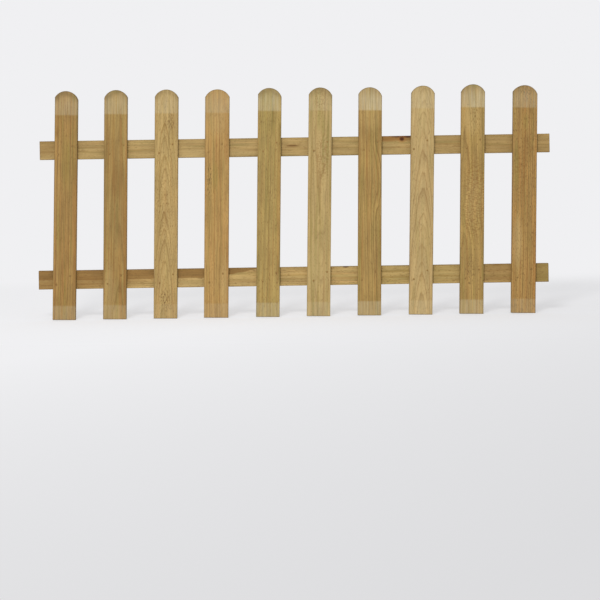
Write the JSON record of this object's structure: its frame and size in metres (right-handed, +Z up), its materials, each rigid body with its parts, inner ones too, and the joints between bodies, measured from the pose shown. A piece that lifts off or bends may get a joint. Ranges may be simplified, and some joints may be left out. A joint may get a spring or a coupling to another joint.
{
  "type": "picket fence panel",
  "caption": "Nailed wooden picket fence panel: spaced upright pales with arched tops on two flat rails, screwed to posts at the rails' ends.",
  "frame": {"origin": "on the flat back of the lower rail's left end, at the rail's centre line, 24 mm from its end, where it is screwed to a post", "axes": "+X along the rails from the left post to the right one as seen from the front, +Y from the pales towards the posts, +Z up"},
  "size_m": [1.8164, 0.0354, 0.8109],
  "materials": {
    "pale_wood": "planed, pressure treated, unpainted",
    "rail_wood": "planed, pressure treated, unpainted",
    "nails": "galvanised, dull"
  },
  "bodies": {
    "root": {"rail_lower": "rail_wood", "rail_upper": "rail_wood", "pale_01": "pale_wood", "pale_01_lower_nails": "nails", "pale_01_upper_nails": "nails", "pale_02": "pale_wood", "pale_02_lower_nails": "nails", "pale_02_upper_nails": "nails", "pale_03": "pale_wood", "pale_03_lower_nails": "nails", "pale_03_upper_nails": "nails", "pale_04": "pale_wood", "pale_04_lower_nails": "nails", "pale_04_upper_nails": "nails", "pale_05": "pale_wood", "pale_05_lower_nails": "nails", "pale_05_upper_nails": "nails", "pale_06": "pale_wood", "pale_06_lower_nails": "nails", "pale_06_upper_nails": "nails", "pale_07": "pale_wood", "pale_07_lower_nails": "nails", "pale_07_upper_nails": "nails", "pale_08": "pale_wood", "pale_08_lower_nails": "nails", "pale_08_upper_nails": "nails", "pale_09": "pale_wood", "pale_09_lower_nails": "nails", "pale_09_upper_nails": "nails", "pale_10": "pale_wood", "pale_10_lower_nails": "nails", "pale_10_upper_nails": "nails"}
  },
  "joints": []
}
